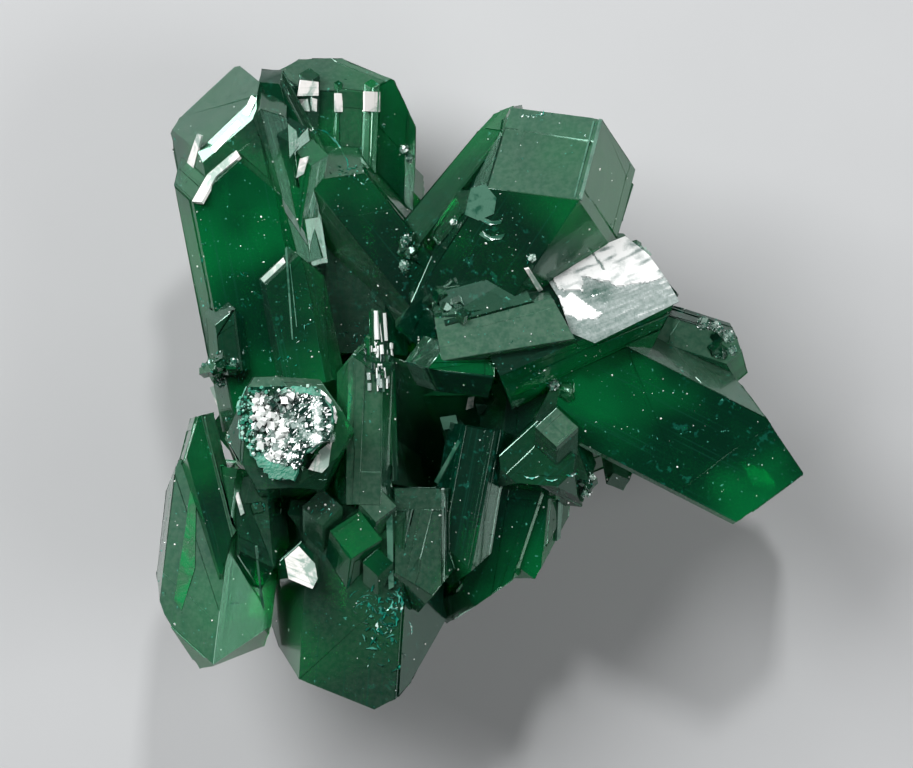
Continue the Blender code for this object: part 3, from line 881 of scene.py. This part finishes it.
ROUGH_RIM = [
    (-9.0, -0.3), (-6.4, -0.3), (-5.75, -0.9), (-5.55, -1.6), (-5.9, -2.4), (-6.7, -2.9), (-7.1, -3.9),
    (-8.1, -3.85), (-9.3, -2.3), (-9.4, -0.9),
]
ROUGH_END = [
    (-8.65, -0.5), (-6.0, -0.6), (-5.6, -1.3), (-5.75, -2.4), (-6.6, -2.7), (-7.0, -3.5), (-8.1, -3.2),
    (-8.8, -1.9),
]
ROUGH_CELL = 0.06
GLITTER_COUNT = 380
GLITTER_SIZES = (0.1, 0.14, 0.18, 0.22, 0.26)
GLITTER_LEAN = 35.0
CRUMB_COUNT = 900
CRUMB_SIZES = (0.04, 0.05, 0.07, 0.11)


def cell_relief(x, y, cells_per_mm):
    """How deep a point is inside its cell of a cracked pattern, and the cell's own random vector."""
    near, points = noise.voronoi(Vector((x, y, 0.0)) * cells_per_mm)
    return near[1] - near[0], noise.cell_vector(points[0] * 17.0)


def crunchy(x, y):
    """Height of the broken end, in millimetres: lumps that lean, over dark cracks."""
    depth, lean = cell_relief(x, y, 2.6)
    return 0.11 + 0.12 * depth + 0.08 * (lean.x - 0.5) + 0.03 * noise_at(x * 6.0, y * 6.0, 0.0)


def sugary(x, y):
    """Height of the rim around it, in millimetres: much finer and lower."""
    depth, lean = cell_relief(x, y, 7.0)
    return 0.06 + 0.02 * depth + 0.012 * lean.y


def rim_tone(place):
    """Darker toward the right side of the rim and toward its foot."""
    spot = noise.noise(place * 1.3) + 0.7 * noise.noise(place * 7.0)
    return 0.5 + 0.35 * spot - 0.5 * max(0.0, place.x + 7.4) - 0.7 * max(0.0, -2.5 - place.y)


def make_glitter(skin, finish, chance):
    """The broken end: a lumpy sheet with grains of its own tones stuck to it, the whitest of them painted
    glints.
    """
    mesh = crust()

    def tone_at(place):
        return 0.25 + 0.6 * noise_at(place.x * 2.0, place.y * 2.0, 6.0) + 0.2 * chance.random()

    relief_sheet(mesh, skin, ragged(ROUGH_END, 0.2, 0.07, chance), ROUGH_CELL, crunchy, tone_at)
    for x, y in scatter(ROUGH_END, GLITTER_COUNT, chance):
        place, normal = surface_under(skin, x, y)
        size = chance.choice(GLITTER_SIZES) * MM
        patch = 0.9 * noise.noise(Vector((x, y, 9.0)) * 1.1)
        tone = min(1.0, max(0.0, 0.72 + patch + chance.uniform(-0.25, 0.2)))
        turn = leaning_turn(normal, GLITTER_LEAN, chance)
        centre = place + normal * (size * 0.15 + 0.05 * MM)
        add_grain(mesh, centre, size, chance.uniform(0.4, 1.9), turn, tone)
    piece_from(mesh, "glitter_crust", finish)


def make_rim(skin, finish, chance):
    """The rim: a fine sheet under crumbs."""
    mesh = crust()
    relief_sheet(mesh, skin, ragged(ROUGH_RIM, 0.15, 0.06, chance), ROUGH_CELL, sugary, rim_tone)
    for x, y in scatter(ROUGH_RIM, CRUMB_COUNT, chance):
        if inside(ROUGH_END, x, y) or (x > -7.2 and y < -2.6):
            continue
        place, normal = surface_under(skin, x, y)
        size = chance.choice(CRUMB_SIZES) * MM
        tone = 0.5 + 0.35 * noise.noise(Vector((x, y, 5.0)) * 1.3) + chance.uniform(-0.4, 0.4)
        centre = place + normal * 0.08 * MM
        add_grain(mesh, centre, size, chance.uniform(0.8, 1.5), any_turn(chance), tone)
    piece_from(mesh, "rim_crumbs", finish)


# The bundle of thin bright prisms, in millimetres

# Those that are easy to see: x, top, foot, width and tone
# Their near-white tones are a painted highlight
NEEDLES = ((-3.96, 2.74, 1.6, 0.2, 0.95), (-3.64, 2.7, 1.58, 0.15, 0.9), (-3.8, 2.5, 1.5, 0.06, 0.7))
NEEDLE_COUNT = 46
NEEDLE_WIDTHS = (0.04, 0.07, 0.1, 0.16)


def make_needles(skin, finish):
    """The bundle of thin bright prisms beside the flat-fronted crystal, their near-white a painted
    highlight.
    """
    chance = random.Random(31)
    mesh = crust()
    bars = list(NEEDLES)
    for _ in range(NEEDLE_COUNT):
        x = chance.gauss(-3.75, 0.28)
        top = chance.uniform(-0.2, 1.55)
        foot = top - chance.uniform(0.12, 0.55)
        bars.append((x, top, foot, chance.choice(NEEDLE_WIDTHS), chance.random()))
    for x, top, foot, width, tone in bars:
        middle = (top + foot) / 2.0
        place = surface_under(skin, x, middle)[0]
        radius = width * MM / 2.0
        made = bmesh.ops.create_cone(mesh, cap_ends=True, segments=6, radius1=radius, radius2=radius,
                                     depth=(top - foot) * MM)["verts"]
        degrees = (90.0 + chance.uniform(-4.0, 4.0), chance.uniform(0.0, 60.0), chance.uniform(-2.0, 5.0))
        turn = Euler([math.radians(angle) for angle in degrees]).to_matrix().to_4x4()
        centre = Vector((x * MM, middle * MM, place.z + width * MM * 0.2))
        bmesh.ops.transform(mesh, matrix=Matrix.Translation(centre) @ turn, verts=made)
        set_tone(mesh, faces_at(made), tone)
    piece_from(mesh, "needle_bundle", finish)


# Chips and cracks, in millimetres

# Where cracks under the skin have left teal chips: middle, spread and count
CHIP_PATCHES = (
    ((-3.7, -9.6), (0.5, 0.7), 90), ((-4.3, -8.8), (0.3, 0.3), 40), ((-3.0, -8.7), (0.15, 0.4), 24),
    ((2.3, 10.5), (0.32, 0.05), 34), ((2.1, 4.8), (0.1, 0.14), 22), ((-0.9, 6.3), (0.12, 0.1), 16),
    ((-3.7, 10.3), (0.07, 0.07), 9), ((-2.9, 9.3), (0.2, 0.2), 24), ((-5.3, 8.4), (0.4, 0.15), 30),
    ((-6.4, 10.0), (0.4, 0.07), 30), ((-4.6, 8.1), (0.25, 0.25), 24), ((-10.2, 2.9), (0.5, 0.06), 22),
    ((-9.3, 4.2), (0.3, 0.06), 16), ((-10.2, 0.6), (0.7, 0.4), 70), ((-10.6, -0.9), (0.3, 0.6), 50),
    ((-4.7, 1.8), (0.3, 0.4), 50), ((-5.0, -0.9), (0.06, 0.3), 14), ((-9.75, -2.4), (0.15, 0.8), 40),
    ((-7.9, -5.0), (0.4, 0.2), 30), ((-5.9, -5.0), (0.4, 0.3), 30), ((-2.6, 4.9), (0.35, 0.7), 80),
    ((3.0, -0.1), (0.35, 0.15), 36), ((2.4, 0.3), (0.3, 0.1), 20), ((4.5, -4.1), (0.2, 0.25), 26),
    ((-6.9, 2.5), (0.2, 1.3), 36), ((-8.2, 0.9), (0.8, 0.3), 36), ((9.9, 2.3), (0.4, 0.2), 20),
    ((-5.4, 7.2), (0.12, 0.6), 12), ((-10.9, 3.5), (0.06, 1.2), 26),
)

# Shell-shaped cracks: middle, radius, sweep in degrees, width and the way they open, in degrees
SHELL_CRACKS = (
    ((-3.1, -8.6), 0.5, 70, 0.2, 20), ((-2.95, -8.9), 0.7, 60, 0.14, 0), ((-3.4, -9.0), 0.6, 55, 0.2, -30),
    ((-3.2, -9.5), 0.9, 45, 0.26, 10), ((-3.9, -9.9), 0.6, 60, 0.24, 200),
    ((-4.4, -8.6), 0.6, 60, 0.1, 100), ((-4.6, -8.9), 0.8, 50, 0.07, 120),
    ((-3.7, -9.3), 0.4, 80, 0.2, 80), ((-2.6, -9.9), 0.9, 40, 0.1, 10), ((-4.9, -8.5), 0.5, 60, 0.06, 130),
    ((0.55, 6.2), 0.6, 70, 0.16, 250), ((0.6, 5.62), 0.7, 75, 0.18, 250),
    ((-6.2, 10.05), 1.2, 60, 0.12, 70), ((-5.5, 9.4), 1.3, 60, 0.12, 30),
    ((-5.15, 8.7), 1.3, 40, 0.08, 10), ((2.2, -3.9), 0.6, 60, 0.14, 270),
    ((3.0, -4.0), 0.5, 60, 0.12, 270), ((3.8, -3.8), 0.5, 60, 0.12, 280),
    ((-9.6, -8.9), 0.9, 40, 0.06, 90),
)

# Where flakes lie close together among the cracks: middle and spread
FLAKE_FIELD = ((-3.6, -9.5), (0.4, 0.75))
FLAKE_COUNT = 70
CHIPS_AROUND = 900
CHIP_SIZES = (0.03, 0.04, 0.05, 0.07, 0.1, 0.16)
STEEPEST_CHIP = 0.2


def make_chips(skin, finish):
    """Chips and sparks of teal and white, thickest in the middle of each patch, and the cracks."""
    chance = random.Random(61)
    mesh = crust()
    for (x, y), (wide, high), count in CHIP_PATCHES:
        for _ in range(count):
            place, normal = surface_under(skin, chance.gauss(x, wide), chance.gauss(y, high))
            if place is None or normal.z < STEEPEST_CHIP:
                continue
            size = chance.choice(CHIP_SIZES) * MM
            add_chip(mesh, place, normal, size, chance.uniform(0.0, math.tau), chance.random())
    for _ in range(CHIPS_AROUND):
        place, normal = surface_around(skin, chance)
        size = chance.choice(CHIP_SIZES[:5]) * MM
        add_chip(mesh, place, normal, size, chance.uniform(0.0, math.tau), chance.random())
    (x, y), (wide, high) = FLAKE_FIELD
    for _ in range(FLAKE_COUNT):
        place, normal = surface_under(skin, chance.gauss(x, wide), chance.gauss(y, high))
        if place is not None:
            size = chance.uniform(0.12, 0.34) * MM
            add_chip(mesh, place, normal, size, chance.uniform(0.0, math.tau), chance.uniform(0.0, 0.85))
    for (x, y), radius, sweep, width, turn in SHELL_CRACKS:
        place, normal = surface_under(skin, x, y)
        if place is None or normal.z < STEEPEST_CHIP:
            continue
        side, ahead = ways_on(normal, 0.0)
        heading = Vector((math.cos(math.radians(turn)), math.sin(math.radians(turn)), 0.0))
        way = math.atan2(heading.dot(ahead), heading.dot(side))
        tone = chance.uniform(0.35, 0.95)
        add_crescent(mesh, place, normal, radius * MM, math.radians(sweep), width * MM, way, tone)
    piece_from(mesh, "teal_chips", finish)


# The bright break on the crystal that points right, partly a pale broken surface and partly a painted
# highlight, in millimetres

BRIGHT_BREAK = [
    (2.6, 4.34), (5.92, 5.7), (6.85, 4.95), (7.6, 3.9), (8.05, 3.1), (4.7, 1.45), (3.75, 1.85), (3.3, 3.2),
]
BREAK_SHELF = [
    (2.5, 4.6), (6.0, 6.0), (7.0, 5.0), (7.66, 4.05), (6.3, 3.8), (5.46, 3.75), (4.9, 3.95), (4.2, 4.05),
    (4.25, 3.55), (3.6, 3.5), (3.2, 3.75),
]
BREAK_LOBE = [(3.2, 3.4), (3.7, 3.45), (4.3, 3.1), (5.0, 2.6), (4.6, 2.4), (4.0, 2.4), (3.5, 2.6)]
BREAK_CELL = 0.05
BREAK_TURN = math.radians(22.0)


def shelf_look(y, ragged_x, along, across, ripple, rough):
    """The bright shelf, its whiteness partly a painted highlight: thin dark streaks, soft ripples, and a
    short dark wedge across it.
    """
    wedge = max(0.0, 1.0 - abs(ragged_x - 4.85 + (y - 4.7) * 0.7) / 0.09) if 4.35 < y < 5.05 else 0.0
    streak = max(0.0, noise_at(along * 1.2, across * 5.0, 4.0) - 0.12)
    shade = 0.08 + 0.9 * streak + 0.5 * max(0.0, -ripple - 0.05) + 0.14 * rough
    return 0.16 + 0.015 * ripple + 0.01 * streak - 0.04 * wedge, 1.0 - shade - 0.7 * wedge


def break_look(x, y):
    """Height in millimetres and tone: a bright shelf and lobe, their whiteness partly a painted highlight,
    a hollow painted darker as shade, painted glints, and fine lines.
    """
    along = x * math.cos(BREAK_TURN) + y * math.sin(BREAK_TURN)
    across = y * math.cos(BREAK_TURN) - x * math.sin(BREAK_TURN)
    place = Vector((along, across, 0.0))
    aside = place * 2.6 + Vector((7.0, 0.0, 0.0))
    ragged_x = x + 0.16 * noise.noise(place * 2.6) + 0.05 * noise.noise(place * 9.0)
    ragged_y = y + 0.16 * noise.noise(aside) + 0.05 * noise.noise(place * 8.0)
    fine = noise_at(along * 0.5, across * 9.0, 0.0) + 0.6 * noise_at(along, across * 21.0, 2.0)
    rough = 0.5 * noise.noise(place * 4.5) + 0.4 * noise.noise(place * 13.0)
    ripple = noise_at(along * 1.6, across * 2.4, 7.0)
    if inside(BREAK_SHELF, ragged_x, ragged_y):
        return shelf_look(y, ragged_x, along, across, ripple, rough)
    if inside(BREAK_LOBE, ragged_x, ragged_y):
        return 0.145 + 0.01 * ripple, 0.98 + 0.1 * fine + 0.15 * rough - 0.3 * max(0.0, x - 4.2)
    # Painted glints along the fine lines, stronger toward the right end
    glint = 0.3 * max(0.0, fine - 0.3) * (1.0 if x > 5.6 else 0.3)
    # The hollow lies lower and is painted darker, a painted shade
    hollow = max(0.0, 1.0 - math.hypot((ragged_x - 4.8) / 0.95, (ragged_y - 3.5) / 0.6))
    shade = 0.46 + 0.12 * fine + 0.26 * rough + glint + 0.08 * (y - 2.8) - 0.4 * hollow
    return 0.12 + 0.008 * fine + (0.012 + 0.03 * hollow) * rough - 0.03 * hollow, shade


def break_height(x, y):
    return break_look(x, y)[0]


def break_tone(place):
    return min(1.0, max(0.0, break_look(place.x, place.y)[1]))


def make_bright_break(skin, finish):
    mesh = crust()
    relief_sheet(mesh, skin, BRIGHT_BREAK, BREAK_CELL, break_height, break_tone)
    piece_from(mesh, "bright_break", finish)


# Knots and dust

# Knots of tiny crystals that sit on the big ones: place, radius and tone
KNOTS = (
    ((6.68, 5.05), 0.36, 0.7), ((7.05, 4.75), 0.2, 0.5), ((6.3, 5.35), 0.15, 0.6), ((9.2, 2.3), 0.3, 0.5),
    ((9.75, 2.15), 0.26, 0.6), ((10.2, 1.75), 0.3, 0.5), ((10.35, 1.2), 0.22, 0.45),
    ((-2.9, 9.35), 0.2, 0.55), ((-2.7, 9.0), 0.18, 0.45), ((2.2, 4.8), 0.16, 0.85),
    ((-10.9, 0.7), 0.25, 0.3), ((-10.2, -0.1), 0.22, 0.35), ((-9.6, 0.7), 0.2, 0.3),
    ((4.4, -4.6), 0.2, 0.5), ((4.7, -3.9), 0.15, 0.85), ((-2.8, 5.6), 0.25, 0.4), ((-2.9, 4.6), 0.22, 0.6),
    ((3.1, -0.2), 0.25, 0.5), ((-0.9, 6.3), 0.14, 0.8), ((6.95, 8.9), 0.2, 0.3),
)

KNOT_LEAN = 45.0
STEEPEST_KNOT = 0.1
DUST_COUNT = 300
DUST_AROUND = 150
DUST_LARGEST = 0.055
STEEPEST_DUST = 0.35


def make_knots(skin, finish):
    """Knots of grains, thick in the middle and loose at the rim."""
    chance = random.Random(71)
    mesh = crust()
    for (x, y), radius, tone in KNOTS:
        for _ in range(int(30 + 110 * radius)):
            reach = radius * math.sqrt(chance.random())
            angle = chance.uniform(0.0, math.tau)
            place, normal = surface_under(skin, x + reach * math.cos(angle), y + reach * math.sin(angle))
            if place is None or normal.z < STEEPEST_KNOT:
                continue
            size = chance.uniform(0.4, 1.0) * (0.1 + 0.3 * radius) * (1.2 - reach / radius) * MM
            centre = place + normal * ((radius - reach) * 0.3 * chance.random() * MM)
            turn = leaning_turn(normal, KNOT_LEAN, chance)
            stretch = chance.uniform(0.8, 1.6)
            add_grain(mesh, centre, size, stretch, turn, tone + chance.uniform(-0.35, 0.3))
    piece_from(mesh, "grain_knots", finish)


def add_speck(mesh, place, size, chance):
    add_grain(mesh, place, size, chance.uniform(0.5, 1.8), any_turn(chance), chance.random())


def make_dust(skin, finish):
    """Specks of pale dust on the faces, more of them in some places than in others."""
    chance = random.Random(51)
    mesh = crust()
    low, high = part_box(NODE)
    wanted = DUST_COUNT
    while wanted > 0:
        x = chance.uniform(low.x, high.x) / MM
        y = chance.uniform(low.y, high.y) / MM
        if noise.noise(Vector((x, y, 0.0)) * 0.45) + chance.uniform(-0.3, 0.3) < 0.05:
            continue
        place, normal = surface_under(skin, x, y)
        if place is None or normal.z < STEEPEST_DUST:
            continue
        wanted -= 1
        size = min(0.014 / (0.12 + chance.random()), DUST_LARGEST) * MM
        add_speck(mesh, place, size, chance)
    for _ in range(DUST_AROUND):
        place = surface_around(skin, chance)[0]
        add_speck(mesh, place, chance.uniform(0.015, 0.045) * MM, chance)
    piece_from(mesh, "dust_specks", finish)


def build():
    add_camera()
    add_studio()
    add_floor()
    lines = growth_line_group()
    tones = tone_group()
    skin = make_crystals(crystal_finish(lines, haze_group()))
    painted_highlight_step = bright_finish("painted_highlight_step", lines, STEP_HIGHLIGHT_COLOURS, 0.12, 8.0, 1.0)
    pale_ledge = bright_finish("pale_ledge", lines, PALE_LEDGE, 0.22, 12.0, 0.3)
    green_strip = bright_finish("green_strip", lines, GREEN_STRIP, 0.2, 7.0, 0.3)
    silver_and_highlight = crust_finish("silver_break_and_highlight", tones, SILVER_AND_HIGHLIGHT_TONES, 0.18, "LINEAR", 0.6)
    glitter = crust_finish("glitter_crust", tones, GLITTER_PAINTED_GLINT_TONES, 0.1, "CONSTANT")
    crumbs = crust_finish("teal_crumbs", tones, CRUMB_TONES, 0.35, "LINEAR", 0.0, 0.12)
    chips = crust_finish("teal_chips", tones, CHIP_TONES, 0.1, "CONSTANT")
    grains = crust_finish("grey_green_grains", tones, GRAIN_TONES, 0.12, "LINEAR")
    dust = crust_finish("dust", tones, DUST_TONES, 0.5, "CONSTANT")
    make_plates(skin, "bright_steps", BRIGHT_STEPS, painted_highlight_step)
    make_plates(skin, "pale_ledges", PALE_LEDGES, pale_ledge)
    make_plates(skin, "green_strips", GREEN_STRIPS, green_strip)
    make_bright_break(skin, silver_and_highlight)
    chance = random.Random(21)
    make_glitter(skin, glitter, chance)
    make_rim(skin, crumbs, chance)
    make_needles(skin, glitter)
    make_chips(skin, chips)
    make_knots(skin, grains)
    make_dust(skin, dust)


build()
bpy.context.scene.view_settings.view_transform = "Standard"
